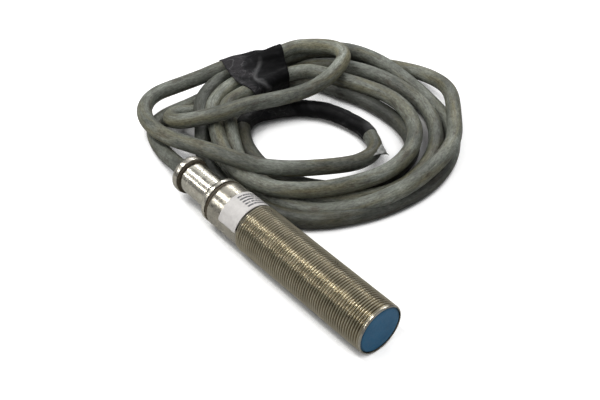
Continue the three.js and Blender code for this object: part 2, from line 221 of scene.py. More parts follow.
def mesh_object(name, verts, faces, sharp=None):
    mesh = bpy.data.meshes.new(name)
    mesh.from_pydata([tuple(p) for p in verts], [], faces)
    body = bmesh.new()
    body.from_mesh(mesh)
    bmesh.ops.recalc_face_normals(body, faces=body.faces)
    body.to_mesh(mesh)
    body.free()
    mesh.shade_smooth()
    if sharp is not None:
        mesh.set_sharp_from_angle(angle=math.radians(sharp))
    piece = bpy.data.objects.new(name, mesh)
    scene.collection.objects.link(piece)
    return piece


def note(piece, name, values):
    """Stores one vector per vertex for the materials."""
    attribute = piece.data.attributes.new(name, "FLOAT_VECTOR", "POINT")
    attribute.data.foreach_set("vector", np.array(values, np.float32).ravel())


def sweep(name, line, radius_at, sides=24):
    """A closed round tube along a line, in mm; radius_at(run, angle) gives its radius there."""
    side, up = frames(line)
    run = np.concatenate([[0], np.cumsum(np.linalg.norm(np.diff(line, axis=0), axis=1))])
    verts, flat = [], []
    for i, p in enumerate(line):
        for j in range(sides):
            a = 2 * math.pi * j / sides
            r = radius_at(run[i], a)
            out = side[i] * math.cos(a) + up[i] * math.sin(a)
            verts.append((p + out * r) * MM)
            flat.append((CORD_R * math.cos(a), CORD_R * math.sin(a), run[i]))
    faces = []
    for i in range(len(line) - 1):
        for j in range(sides):
            k = (j + 1) % sides
            faces.append((i * sides + j, i * sides + k, (i + 1) * sides + k, (i + 1) * sides + j))
    for start, p in ((0, line[0]), ((len(line) - 1) * sides, line[-1])):
        middle = len(verts)
        verts.append(p * MM)
        flat.append((0, 0, run[0] if start == 0 else run[-1]))
        for j in range(sides):
            faces.append((start + j, start + (j + 1) % sides, middle))
    piece = mesh_object(name, verts, faces, sharp=60)
    note(piece, "unrolled", flat)
    return piece


knots, painted_light_shades = [], []
for points, painted_light_shade in STRETCHES:
    knots += points
    painted_light_shades += [painted_light_shade] * len(points)
STEP = 1.2
centreline, knot_at = smooth_line(knots, STEP)
centreline = relax(centreline, 8)
centreline[:, 2] = np.maximum(centreline[:, 2], CORD_R)
# the painted light and shade fades from one stretch into the next over this many points on each side
FADE = 8
painted_light_shade_at = np.interp(knot_at, range(len(painted_light_shades)), painted_light_shades)
even_weights = np.ones(2 * FADE + 1) / (2 * FADE + 1)
painted_light_shade_at = np.convolve(np.pad(painted_light_shade_at, FADE, mode="edge"), even_weights, mode="valid")


def jacket_radius(run, angle):
    """The jacket is a little uneven and pressed in places."""
    p = Vector((math.cos(angle) * 0.6, math.sin(angle) * 0.6, run / 14))
    return CORD_R + 0.07 * noise.noise(p) + 0.04 * noise.noise(p * 3.1)


SIDES = 28
cable = sweep("cable", centreline, jacket_radius, SIDES)
painted_light_shade_values = np.repeat(painted_light_shade_at, SIDES)
painted_light_shade_values = np.concatenate([painted_light_shade_values, [painted_light_shade_at[0], painted_light_shade_at[-1]]])
note(cable, "painted_light_shade", np.stack([painted_light_shade_values] * 3, 1))
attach(cable, "root")
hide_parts("cable_lead", "cable_inner_strand", "cable_coil")

# ---- node helpers for the materials ------------------------------------------------------------------------


class Nodes:
    """A material's node tree with short ways to add what the finishes here use."""

    def __init__(self, name):
        self.material = bpy.data.materials.new(name)
        self.material.use_nodes = True
        self.tree = self.material.node_tree
        self.shader = self.tree.nodes["Principled BSDF"]
        self.bump = None

    def add(self, kind, **settings):
        node = self.tree.nodes.new(kind)
        for key, value in settings.items():
            setattr(node, key, value)
        return node

    def link(self, a, b):
        self.tree.links.new(a, b)

    def place(self, attribute=None, stretch=(1, 1, 1)):
        """Coordinates in mm: the object's own, or a stored attribute's."""
        if attribute is None:
            source = self.add("ShaderNodeTexCoord").outputs["Object"]
            scale = [1000 * s for s in stretch]
        else:
            source = self.add("ShaderNodeAttribute", attribute_name=attribute).outputs["Vector"]
            scale = list(stretch)
        mapping = self.add("ShaderNodeMapping")
        mapping.inputs["Scale"].default_value = scale
        self.link(source, mapping.inputs["Vector"])
        return mapping.outputs["Vector"]

    def noise(self, place, scale, detail=4.0, rough=0.55, warp=0.0):
        node = self.add("ShaderNodeTexNoise")
        node.inputs["Scale"].default_value = scale
        node.inputs["Detail"].default_value = detail
        node.inputs["Roughness"].default_value = rough
        node.inputs["Distortion"].default_value = warp
        self.link(place, node.inputs["Vector"])
        return node.outputs["Fac"]

    def span(self, value, low, high, to_low=0.0, to_high=1.0):
        node = self.add("ShaderNodeMapRange", clamp=True)
        numbers = {"From Min": low, "From Max": high, "To Min": to_low, "To Max": to_high}
        for socket, number in numbers.items():
            node.inputs[socket].default_value = number
        self.link(value, node.inputs["Value"])
        return node.outputs["Result"]

    def ramp(self, value, stops):
        node = self.add("ShaderNodeValToRGB")
        while len(node.color_ramp.elements) < len(stops):
            node.color_ramp.elements.new(0.5)
        for element, (where, colour) in zip(node.color_ramp.elements, stops):
            element.position = where
            element.color = (*colour, 1)
        self.link(value, node.inputs["Fac"])
        return node.outputs["Color"]

    def mix(self, factor, a, b, blend="MIX"):
        node = self.add("ShaderNodeMix", data_type="RGBA", blend_type=blend)
        for socket, value in ((node.inputs[0], factor), (node.inputs[6], a), (node.inputs[7], b)):
            if isinstance(value, bpy.types.NodeSocket):
                self.link(value, socket)
            elif isinstance(value, (int, float)):
                socket.default_value = value
            else:
                socket.default_value = (*value, 1)
        return node.outputs[2]

    def math(self, operation, a, b):
        node = self.add("ShaderNodeMath", operation=operation)
        for socket, value in zip(node.inputs, (a, b)):
            if isinstance(value, bpy.types.NodeSocket):
                self.link(value, socket)
            else:
                socket.default_value = value
        return node.outputs[0]

    def part_of(self, vector, axis):
        node = self.add("ShaderNodeSeparateXYZ")
        self.link(vector, node.inputs[0])
        return node.outputs[axis]

    def raise_(self, height, distance, strength=1.0):
        node = self.add("ShaderNodeBump")
        node.inputs["Distance"].default_value = distance * MM
        node.inputs["Strength"].default_value = strength
        self.link(height, node.inputs["Height"])
        if self.bump is not None:
            self.link(self.bump, node.inputs["Normal"])
        self.bump = node.outputs["Normal"]
        self.link(self.bump, self.shader.inputs["Normal"])

    def set(self, **values):
        names = {"metallic": "Metallic", "roughness": "Roughness", "colour": "Base Color",
                 "specular": "Specular IOR Level"}
        for key, value in values.items():
            socket = self.shader.inputs[names[key]]
            if isinstance(value, bpy.types.NodeSocket):
                self.link(value, socket)
            elif key == "colour":
                socket.default_value = (*value, 1)
            else:
                socket.default_value = value


def coat(piece, material):
    piece.data.materials.clear()
    piece.data.materials.append(material)


# ---- the cable's jacket ------------------------------------------------------------------------------------


def jacket_finish():
    n = Nodes("cable_jacket")
    even = n.place("unrolled", (1, 1, 1))
    long = n.place("unrolled", (1, 1, 0.12))
    longer = n.place("unrolled", (1, 1, 0.035))
    blotch = n.noise(n.place("unrolled", (1, 1, 0.5)), 0.13, 5, 0.6)
    base = n.ramp(blotch, [(0.34, (0.082, 0.088, 0.076)), (0.5, (0.142, 0.151, 0.130)),
                           (0.66, (0.222, 0.238, 0.210))])
    olive = n.span(n.noise(long, 0.24, 5, 0.65), 0.48, 0.66, 0, 0.8)
    colour = n.mix(olive, base, (0.150, 0.138, 0.080))
    brown = n.span(n.noise(n.place("unrolled", (1, 1, 0.3)), 0.34, 6, 0.7), 0.53, 0.68, 0, 0.8)
    colour = n.mix(brown, colour, (0.058, 0.046, 0.032))
    streak = n.noise(longer, 1.5, 4, 0.6)
    scuff = n.math("MULTIPLY", n.span(streak, 0.58, 0.70), n.span(n.noise(even, 0.11, 3), 0.48, 0.6))
    colour = n.mix(n.math("MULTIPLY", scuff, 0.75), colour, (0.045, 0.042, 0.034))
    pale = n.math("MULTIPLY", n.span(streak, 0.40, 0.30), n.span(n.noise(even, 0.14, 3), 0.5, 0.62))
    colour = n.mix(n.math("MULTIPLY", pale, 0.45), colour, (0.30, 0.31, 0.28))
    fine = n.noise(n.place("unrolled", (1, 1, 0.3)), 1.7, 6, 0.75)
    grain = n.ramp(fine, [(0.3, (0.38, 0.38, 0.36)), (0.7, (1.62, 1.62, 1.62))])
    colour = n.mix(1.0, colour, grain, "MULTIPLY")
    # painted light and shade: the jacket's colour is multiplied by each stretch's painted value
    painted_light_shade = n.add("ShaderNodeAttribute", attribute_name="painted_light_shade").outputs["Vector"]
    colour = n.mix(1.0, colour, painted_light_shade, "MULTIPLY")
    n.set(colour=colour, roughness=n.span(n.noise(even, 0.5, 5), 0.3, 0.7, 0.42, 0.66), specular=0.4)
    n.raise_(n.noise(even, 0.35, 3), 0.16, 0.8)
    n.raise_(fine, 0.06, 0.8)
    n.raise_(n.noise(even, 7.0, 4, 0.7), 0.025, 0.7)
    return n.material


coat(cable, jacket_finish())

# ---- black tape --------------------------------------------------------------------------------------------


def tape_finish(name, dusty, light, along=None, creases=()):
    """Black tape: smooth and dark, with a dusty, creased patch that fades out along the wrap. A crease is its
    slope, its level, the stretch of the wrap it crosses and its width, in parts of the wrap; each is a raised
    fold with a painted highlight along it."""
    n = Nodes(name)
    place = n.place()
    flow = n.place(None, (1.3, 0.8, 1.1))
    patch = n.noise(place, 0.12, 4, 0.55, 0.6)
    if along:
        run = n.part_of(n.add("ShaderNodeAttribute", attribute_name=along).outputs["Vector"], 0)
        patch = n.math("ADD", patch, n.span(run, 0.15, 0.65, 0.16, -0.16))
    colour = n.ramp(patch, [(0.40, (0.003, 0.003, 0.0035)), (0.52, (0.010, 0.010, 0.0115)), (0.66, light)])
    crease = n.math("ABSOLUTE", n.math("SUBTRACT", n.noise(flow, 0.15, 2, 0.5, 1.1), 0.5), 0)
    crease = n.math("MULTIPLY", n.span(crease, 0.0, 0.018, 1, 0), n.span(patch, 0.48, 0.6))
    colour = n.mix(n.math("MULTIPLY", crease, dusty), colour, (0.16, 0.16, 0.165))
    dust = n.math("MULTIPLY", n.span(n.noise(flow, 0.8, 6, 0.7), 0.5, 0.75), n.span(patch, 0.45, 0.62))
    colour = n.mix(n.math("MULTIPLY", dust, dusty), colour, (0.075, 0.072, 0.072))
    wander = n.math("MULTIPLY", n.math("SUBTRACT", n.noise(flow, 0.3, 2), 0.5), 0.07)
    for slope, level, low, high, wide in creases:
        run = n.part_of(n.place(along), 0)
        line = n.math("SUBTRACT", n.part_of(n.place(along), 1), n.math("MULTIPLY", run, slope))
        away = n.math("ABSOLUTE", n.math("ADD", n.math("SUBTRACT", line, level), wander), 0)
        fold = n.math("MULTIPLY", n.span(away, 0.0, wide, 1, 0), n.span(run, low, low + 0.06))
        fold = n.math("MULTIPLY", fold, n.span(run, high, high - 0.12))
        # painted highlight: a light grey line where the fold's ridge catches the light
        colour = n.mix(n.math("MULTIPLY", fold, 0.42), colour, (0.20, 0.20, 0.205))
        n.raise_(fold, 0.25, 0.6)
    n.set(colour=colour, roughness=n.span(n.noise(flow, 0.45, 5), 0.3, 0.7, 0.42, 0.62), specular=0.1)
    n.raise_(n.noise(flow, 0.4, 3, 0.5, 1.2), 0.35, 0.6)
    n.raise_(n.noise(place, 3.2, 4, 0.6), 0.03, 0.5)
    return n.material


def hull(points):
    """The corners of the smallest convex outline round the points."""
    points = sorted(set(points))

    def half(order):
        out = []
        for p in order:
            while len(out) > 1 and ((out[-1][0] - out[-2][0]) * (p[1] - out[-2][1])
                                    - (out[-1][1] - out[-2][1]) * (p[0] - out[-2][0])) <= 0:
                out.pop()
            out.append(p)
        return out[:-1]

    return half(points) + half(points[::-1])


BUNDLE_LEFT, BUNDLE_RIGHT = -19, 17      # every strand of the bundle lies between these slots


def crossings(origin, normal):
    """Where the cable goes through a plane near the bundle: (across, height) pairs."""
    offset = (centreline - origin) @ normal
    across = np.array((normal[1], -normal[0], 0))
    found = []
    for i in np.nonzero(offset[:-1] * offset[1:] <= 0)[0]:
        t = offset[i] / (offset[i] - offset[i + 1] + 1e-12)
        p = centreline[i] + (centreline[i + 1] - centreline[i]) * t
        u = float((p - origin) @ across)
        if BUNDLE_LEFT < u < BUNDLE_RIGHT:
            found.append((u, float(p[2])))
    return found, across


def edge_distance(outline, middle, d):
    """How far a convex outline's edge is from the middle in direction d."""
    far = 0.0
    for (x0, y0), (x1, y1) in zip(outline, outline[1:] + outline[:1]):
        ex, ey = x1 - x0, y1 - y0
        cross = d[0] * ey - d[1] * ex
        if abs(cross) < 1e-9:
            continue
        wx, wy = x0 - middle[0], y0 - middle[1]
        r = (wx * ey - wy * ex) / cross
        q = (wx * d[1] - wy * d[0]) / cross
        if r > 0 and -1e-6 <= q <= 1 + 1e-6:
            far = max(far, r)
    return far


def strand_distance(strands, middle, d, wrap):
    """How far the outermost strand reaches from the middle in direction d."""
    far = 0.0
    for u, z in strands:
        wx, wy = u - middle[0], z - middle[1]
        b = wx * d[0] + wy * d[1]
        c = b * b - (wx * wx + wy * wy - wrap * wrap)
        if c > 0:
            far = max(far, b + math.sqrt(c))
    return far


def bundle_tape():
    """A band stretched round the strands: it spans from one to the next and dips a little between them."""
    stations, sides = 44, 132
    rim_points, pulls = 24, 300
    start, width = -1.6, 24.9
    turn_in, turn_out = math.radians(76), math.radians(67)
    wrap = CORD_R + 0.3
    cuts = []
    for s in range(stations):
        t = s / (stations - 1)
        along = start + width * t
        origin = np.array(TAPE_NEAR + TAPE_ALONG * along)
        heading = turn_in + (turn_out - turn_in) * t
        normal = np.array((math.cos(heading), math.sin(heading), 0))
        strands, across = crossings(origin, normal)
        rims = []
        for u, z in strands:
            for k in range(rim_points):
                a = 2 * math.pi * k / rim_points
                rims.append((round(u + wrap * math.cos(a), 4), round(z + wrap * math.sin(a), 4)))
        cuts.append((along, origin, across, strands, hull(rims)))
    middles = np.array([np.mean(cut[4], axis=0) for cut in cuts])
    ends = middles[:6].mean(0), middles[-6:].mean(0)
    tight = np.zeros((stations, sides))
    touch = np.zeros((stations, sides))
    for s, (along, origin, across, strands, outline) in enumerate(cuts):
        middles[s] = ends[0] + (ends[1] - ends[0]) * s / (stations - 1)
        for k in range(sides):
            a = 2 * math.pi * k / sides
            d = (math.cos(a), math.sin(a))
            touch[s, k] = strand_distance(strands, middles[s], d, wrap)
            tight[s, k] = edge_distance(outline, middles[s], d)
    # pulled tight along the bundle too, so it spans from one high place to the next
    for _ in range(pulls):
        tight[1:-1] = np.maximum(tight[1:-1], 0.5 * (tight[:-2] + tight[2:]))
    reach = np.maximum(touch, 0.9 * tight + 0.1 * touch)
    verts = np.zeros((stations, sides, 3))
    for s, (along, origin, across, strands, outline) in enumerate(cuts):
        for k in range(sides):
            a = 2 * math.pi * k / sides
            p = Vector((a * 2.2, along / 9, 0))
            folds = abs(noise.noise(p * 1.1)) * 0.35 + abs(noise.noise(p * 2.7 + Vector((5, 1, 0)))) * 0.25
            r = reach[s, k] + folds + 0.1
            u = middles[s][0] + r * math.cos(a)
            # the band's near edge is drawn back on the side of the coil's opening
            drawn_back = 0.03 * max(0.0, u) ** 2 * (1 - s / (stations - 1)) ** 2
            verts[s, k] = origin + across * u + np.array(TAPE_ALONG) * drawn_back
            verts[s, k, 2] = max(0.15, middles[s][1] + r * math.sin(a))
    for _ in range(2):
        verts[1:-1] += 0.3 * ((verts[:-2] + verts[2:]) / 2 - verts[1:-1])
        verts += 0.25 * ((np.roll(verts, 1, 1) + np.roll(verts, -1, 1)) / 2 - verts)
    flat = verts.reshape(-1, 3)
    faces = []
    for s in range(stations - 1):
        for k in range(sides):
            m = (k + 1) % sides
            faces.append((s * sides + k, s * sides + m, (s + 1) * sides + m, (s + 1) * sides + k))
    piece = mesh_object("tape_band", flat * MM, faces)
    note(piece, "wrap", [(s / (stations - 1), k / sides, 0) for s in range(stations) for k in range(sides)])
    thick = piece.modifiers.new("thick", "SOLIDIFY")
    thick.thickness = 0.35 * MM
    thick.offset = -1
    smooth = piece.modifiers.new("smooth", "SUBSURF")
    smooth.levels = smooth.render_levels = 1
    return piece


tape = bundle_tape()
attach(tape, "root")
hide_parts("bundle_tape")
# each crease is a raised fold with a painted highlight along it
CREASES = [(0.5, -0.05, 0.27, 0.62, 0.05), (-0.35, 0.2, 0.3, 0.62, 0.04)]
coat(tape, tape_finish("bundle_tape", 0.45, (0.030, 0.028, 0.031), "wrap", CREASES))


LAP_PITCH = 9.0               # each turn of the tape on the loop moves on by this much


def loop_tape():
    """Spiral layers of tape round the stretch that runs to the bight."""
    taped = [points is TAPED for points, _ in STRETCHES].index(True)
    # start and end are places in the route's knots
    start = sum(len(points) for points, _ in STRETCHES[:taped]) - 1.9
    end = start + 9.5
    sides = 36
    inside = (knot_at >= start) & (knot_at <= end)
    line = centreline[inside]
    total = STEP * (len(line) - 1)

    def radius(run, angle):
        lap = (run / LAP_PITCH + angle / (2 * math.pi)) % 1.0
        fade = min(1.0, run / 1.2, (total - run) / 1.2)
        p = Vector((math.cos(angle) * 0.9, math.sin(angle) * 0.9, run / 5))
        return CORD_R + 0.06 + fade * (0.12 + 0.16 * lap + 0.2 * abs(noise.noise(p * 1.3)))

    piece = sweep("tape_on_loop", line, radius, sides)
    places = [(i / (len(line) - 1), k / sides, 0) for i in range(len(line)) for k in range(sides)]
    note(piece, "wrap", places + [(0, 0, 0), (1, 0, 0)])
    return piece


wrap = loop_tape()
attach(wrap, "root")
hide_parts("loop_tape")
# the end crease is a raised fold with a painted highlight along it
coat(wrap, tape_finish("loop_tape", 0.25, (0.016, 0.016, 0.016), "wrap", [(0.0, 0.6, 0.9, 1.1, 0.25)]))


def tape_end():
    """The tape's loose end sticks out of the bight as a small folded flap."""
    root_a, root_b = Vector((-17.3, 66.8, 7.4)), Vector((-13.4, 58.4, 8.2))
    tip, fold = Vector((-12.4, 66.2, 5.0)), Vector((-13.3, 63.8, 8.6))
    verts, faces = [], []
    across, out = 12, 8
    for i in range(across + 1):
        t = i / across
        base = root_a.lerp(root_b, t)
        crown = fold.lerp(tip, 0.5)
        for j in range(out + 1):
            q = j / out
            edge = tip.lerp(base, abs(2 * t - 1) * 0.55)
            p = base * (1 - q) ** 2 + crown * 2 * q * (1 - q) + edge * q * q
            p.z += 0.25 * noise.noise(p * 0.7)
            verts.append(p * MM)
    for i in range(across):
        for j in range(out):
            k = i * (out + 1) + j
            faces.append((k, k + 1, k + out + 2, k + out + 1))
    piece = mesh_object("tape_end_flap", verts, faces)
    thick = piece.modifiers.new("thick", "SOLIDIFY")
    thick.thickness = 0.2 * MM
    n = Nodes("tape_back")
    place = n.place()
    colour = n.ramp(n.noise(place, 0.5, 4, 0.6), [(0.3, (0.13, 0.135, 0.13)), (0.7, (0.34, 0.345, 0.33))])
    n.set(colour=colour, roughness=n.span(n.noise(place, 0.9, 3), 0.3, 0.7, 0.25, 0.45), specular=0.5)
    n.raise_(n.noise(place, 1.5, 4, 0.6), 0.08, 0.6)
    coat(piece, n.material)
    return piece


flap = tape_end()
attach(flap, "root")

# ---- turned metal and plastic pieces of the barrel ---------------------------------------------------------

FRONT_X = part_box("sensing_cap")[1].x / MM
SLEEVE_X = [v.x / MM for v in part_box("threaded_sleeve")]
LABEL_X = [v.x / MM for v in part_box("type_label")]
THREAD_R = 9.0
PLAIN_R = 8.5
BORE_R = 7.8
THREAD_END_X = FRONT_X - 0.7
THREAD_START_X = THREAD_END_X - 60.0
PITCH = 1.0
THREAD_DEPTH = 0.58


def lathe_rings(outline, sides):
    """Vertices and faces of a turned shell from [x, radius] pairs in mm; radius 0 closes it on the axis."""
    verts, faces, rings = [], [], []
    for x, r in outline:
        if r == 0:
            rings.append([len(verts)] * sides)
            verts.append((x * MM, 0, AXIS_Z * MM))
            continue
        ring = []
        for j in range(sides):
            a = 2 * math.pi * j / sides
            ring.append(len(verts))
            verts.append((x * MM, r * math.sin(a) * MM, (AXIS_Z + r * math.cos(a)) * MM))
        rings.append(ring)
    for one, two in zip(rings, rings[1:]):
        for j in range(sides):
            k = (j + 1) % sides
            corners = []
            for corner in (one[j], one[k], two[k], two[j]):
                if corner not in corners:
                    corners.append(corner)
            if len(corners) > 2:
                faces.append(corners)
    return verts, faces


def turned_piece(name, verts, faces, sharp=40):
    """Joins the rings that meet, and stores each vertex's angle, its depth below the crests and its x."""
    piece = mesh_object(name, verts, faces)
    body = bmesh.new()
    body.from_mesh(piece.data)
    bmesh.ops.remove_doubles(body, verts=body.verts, dist=1e-7)
    bmesh.ops.recalc_face_normals(body, faces=body.faces)
    body.to_mesh(piece.data)
    body.free()
    piece.data.shade_smooth()
    piece.data.set_sharp_from_angle(angle=math.radians(sharp))
    flat = []
    for v in piece.data.vertices:
        y, z = v.co.y / MM, v.co.z / MM - AXIS_Z
        flat.append((math.atan2(y, z), THREAD_R - math.hypot(y, z), v.co.x / MM))
    note(piece, "turned", flat)
    return piece


def lathe(name, outline, sides=128):
    """A piece turned from a closed outline of (x, radius) points."""
    if outline[0][1] != 0:
        outline = outline + outline[:1]
    return turned_piece(name, *lathe_rings(outline, sides))


def groove(x, phase):
    """How deep the thread is cut at this place, in mm."""
    slope = abs(2 * (phase % 1.0) - 1)
    cut = min(1.0, max(0.0, 1.28 * slope - 0.14))
    ease = cut * cut * (3 - 2 * cut) * 0.35 + cut * 0.65
    start = min(1.0, max(0.0, (x - THREAD_START_X - 0.2) / 1.0))
    stop = min(1.0, max(0.0, (THREAD_END_X - x) / 0.5))
    return THREAD_DEPTH * ease * start * stop


def threaded_sleeve(sides=144, samples=12):
    """The thread's rows follow the helix, so that each crest is one unbroken line."""
    rear = [(THREAD_START_X, PLAIN_R)]
    rear += [(x, PLAIN_R) for x in np.linspace(THREAD_START_X - 2, SLEEVE_X[0] + 1, 8)]
    rear += [(SLEEVE_X[0] + 0.3, PLAIN_R), (SLEEVE_X[0] + 0.1, PLAIN_R - 0.06), (SLEEVE_X[0], PLAIN_R - 0.25),
             (SLEEVE_X[0], BORE_R), (FRONT_X - 1.3, BORE_R), (FRONT_X - 1.3, 8.42), (FRONT_X - 0.06, 8.42),
             (FRONT_X, 8.47), (FRONT_X, 8.74), (FRONT_X - 0.12, 8.84), (FRONT_X - 0.55, THREAD_R - 0.02),
             (THREAD_END_X, THREAD_R)]
    verts, faces = lathe_rings(rear, sides)
    first = len(verts)
    rows = int((THREAD_END_X - THREAD_START_X) / PITCH + 1) * samples
    for i in range(rows + 1):
        for j in range(sides + 1):
            a = 2 * math.pi * j / sides
            x = THREAD_START_X + PITCH * ((i / samples) - 1 + j / sides)
            x = min(THREAD_END_X, max(THREAD_START_X, x))
            r = min(THREAD_R, PLAIN_R + (x - THREAD_START_X)) - groove(x, i / samples)
            verts.append((x * MM, r * math.sin(a) * MM, (AXIS_Z + r * math.cos(a)) * MM))
    wide = sides + 1
    for i in range(rows):
        for j in range(sides):
            k = first + i * wide + j
            faces.append((k, k + 1, k + wide + 1, k + wide))
    return turned_piece("sleeve_with_thread", verts, faces, sharp=80)


sleeve = threaded_sleeve()
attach(sleeve, "root")
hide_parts("threaded_sleeve")

cap_low, cap_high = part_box("sensing_cap")
CAP_R = cap_high.y / MM
CAP_BACK = cap_low.x / MM
cap = lathe("blue_face", [
    (FRONT_X, 0), (FRONT_X, 3), (FRONT_X, 6), (FRONT_X, CAP_R - 0.75), (FRONT_X - 0.04, CAP_R - 0.6),
    (FRONT_X - 0.22, CAP_R - 0.18), (FRONT_X - 0.36, CAP_R - 0.04), (FRONT_X - 0.5, CAP_R),
    (FRONT_X - 1, CAP_R), (FRONT_X - 1, BORE_R - 0.3), (CAP_BACK, BORE_R - 0.3), (CAP_BACK, BORE_R - 1),
    (FRONT_X - 1.05, BORE_R - 1), (FRONT_X - 1.05, 0)])
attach(cap, "root")
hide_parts("sensing_cap")

bushing_low, bushing_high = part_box("rear_bushing")
TAIL_X = bushing_low.x / MM
SPIGOT_END = bushing_high.x / MM
FLANGE_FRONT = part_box("sleeve_seal_ring")[0].x / MM - 0.3
FLANGE_BACK = FLANGE_FRONT - 1.95
NECK_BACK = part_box("collar_seal_ring")[1].x / MM - 0.05
NECK_R = 5.9
bushing = lathe("bushing", [
    (TAIL_X, 4.6), (NECK_BACK, 4.6), (NECK_BACK, NECK_R - 0.15), (NECK_BACK + 0.15, NECK_R),
    (-44, NECK_R), (-42, NECK_R - 0.02), (-39, NECK_R - 0.03), (-36, NECK_R - 0.02), (-33, NECK_R),
    (FLANGE_BACK - 0.45, NECK_R), (FLANGE_BACK - 0.2, NECK_R + 0.07), (FLANGE_BACK, NECK_R + 0.35),
    (FLANGE_BACK, PLAIN_R - 0.75), (FLANGE_BACK + 0.08, PLAIN_R - 0.42), (FLANGE_BACK + 0.24, PLAIN_R - 0.17),
    (FLANGE_BACK + 0.5, PLAIN_R - 0.03), (FLANGE_BACK + 0.7, PLAIN_R), (FLANGE_FRONT - 0.12, PLAIN_R),
    (FLANGE_FRONT, PLAIN_R - 0.12), (FLANGE_FRONT, 7.5), (SPIGOT_END, 7.5), (SPIGOT_END, 6.3), (-32, 6.3),
    (-34, 4.7), (-44.6, 4.7), (-44.6, 3.3), (TAIL_X, 3.3)])
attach(bushing, "root")
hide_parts("rear_bushing")

collar_low, collar_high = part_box("end_collar")
COLLAR_BACK, COLLAR_FRONT = collar_low.x / MM, collar_high.x / MM + 0.35
COLLAR_R = collar_high.y / MM
collar = lathe("collar", [
    (COLLAR_BACK, 3.5), (COLLAR_BACK, 5.7), (COLLAR_BACK + 0.05, 6.1), (COLLAR_BACK + 0.2, 6.48),
    (COLLAR_BACK + 0.45, 6.78), (COLLAR_BACK + 0.8, 6.97), (COLLAR_BACK + 1.15, COLLAR_R),
    (COLLAR_FRONT - 0.35, COLLAR_R), (COLLAR_FRONT - 0.12, COLLAR_R - 0.07), (COLLAR_FRONT, COLLAR_R - 0.28),
    (COLLAR_FRONT, 4.9), (COLLAR_BACK + 0.9, 4.9), (COLLAR_BACK + 0.9, 3.5)], sides=112)
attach(collar, "root")
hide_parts("end_collar")


def seal(name, node, inner, outer, narrow=0.0):
    low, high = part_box(node)
    x0, x1 = low.x / MM - 0.05 + narrow, high.x / MM + 0.05 - narrow / 2
    middle = (x0 + x1) / 2
    piece = lathe(name, [(x0, inner), (x0, outer - 0.3), (x0 + 0.12, outer - 0.1), (x0 + 0.35, outer - 0.01),
                         (middle, outer), (x1 - 0.35, outer - 0.01), (x1 - 0.12, outer - 0.1),
                         (x1, outer - 0.3), (x1, inner)], sides=112)
    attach(piece, "root")
    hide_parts(node)
    return piece


sleeve_seal = seal("seal_at_sleeve", "sleeve_seal_ring", 7.8, 8.35)
collar_seal = seal("seal_at_collar", "collar_seal_ring", 4.9, 6.8, 0.4)


def label():
    """A thin foil wrapped most of the way round the plain part, its corners a little rounded."""
    across, around = 26, 120
    first, last = -75.0, 150.0
    verts, faces, flat = [], [], []
    x0, x1 = LABEL_X
    for i in range(around + 1):
        t = i / around
        a = math.radians(first + (last - first) * t)
        end = min(t, 1 - t) * (last - first) / 180 * math.pi * PLAIN_R
        inset = 0.5 - math.sqrt(max(0.0, 0.25 - (0.5 - min(0.5, end)) ** 2))
        for j in range(across + 1):
            x = x0 + inset + (x1 - x0 - 2 * inset) * j / across
            ripple = 0.012 * noise.noise(Vector((a * 5, x / 1.6, 3)))
            r = PLAIN_R + 0.2 + ripple
            verts.append((x * MM, r * math.sin(a) * MM, (AXIS_Z + r * math.cos(a)) * MM))
            flat.append((math.radians(first + (last - first) * t) * PLAIN_R, 0, x - x0))
    for i in range(around):
        for j in range(across):
            k = i * (across + 1) + j
            faces.append((k, k + 1, k + across + 2, k + across + 1))
    piece = mesh_object("foil_label", verts, faces)
    note(piece, "label", flat)
    thick = piece.modifiers.new("thick", "SOLIDIFY")
    thick.thickness = 0.15 * MM
    thick.offset = 0
    return piece


foil = label()
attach(foil, "root")
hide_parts("type_label")

# ---- finishes of the barrel --------------------------------------------------------------------------------


def thread_finish():
    n = Nodes("nickel_thread")
    place = n.place("turned")
    depth = n.part_of(place, 1)
    tarnish = n.noise(n.place(), 0.22, 5, 0.6)
    crest = n.ramp(tarnish, [(0.3, (0.45, 0.41, 0.31)), (0.55, (0.54, 0.495, 0.38)),
                             (0.75, (0.61, 0.565, 0.45))])
    root = n.ramp(tarnish, [(0.3, (0.115, 0.092, 0.055)), (0.7, (0.21, 0.175, 0.115))])
    # painted shade: the thread's colour darkens from the crests down into the roots of the grooves
    colour = n.mix(n.span(depth, 0.12, 0.5), crest, root)
    dirt = n.span(n.noise(n.place(None, (0.4, 1.6, 1.6)), 0.5, 5, 0.65), 0.54, 0.74, 0, 0.45)
    colour = n.mix(dirt, colour, (0.16, 0.13, 0.085))
    rough = n.span(n.noise(n.place(None, (0.5, 1, 1)), 0.4, 4), 0.3, 0.7, 0.27, 0.34)
    n.set(colour=colour, metallic=1.0, roughness=rough)
    return n.material


def polished_finish(name, tint, rough_low, rough_high, lines):
    n = Nodes(name)
    turning = n.noise(n.place(None, (lines, 0.06, 0.06)), 1.0, 3, 0.6)
    stain = n.noise(n.place(), 0.28, 5, 0.6)
    dull, bright = tuple(0.72 * c for c in tint), tuple(1.06 * c for c in tint)
    colour = n.ramp(stain, [(0.3, dull), (0.55, tint), (0.8, bright)])
    speck = n.span(n.noise(n.place(), 2.4, 4, 0.7), 0.66, 0.76, 0, 0.6)
    colour = n.mix(speck, colour, (0.17, 0.14, 0.10))
    rough = n.span(stain, 0.3, 0.7, rough_low, rough_high)
    rough = n.math("ADD", rough, n.span(turning, 0.3, 0.8, 0.0, 0.08))
    n.set(colour=colour, metallic=1.0, roughness=rough)
    n.raise_(turning, 0.004, 0.4)
    return n.material


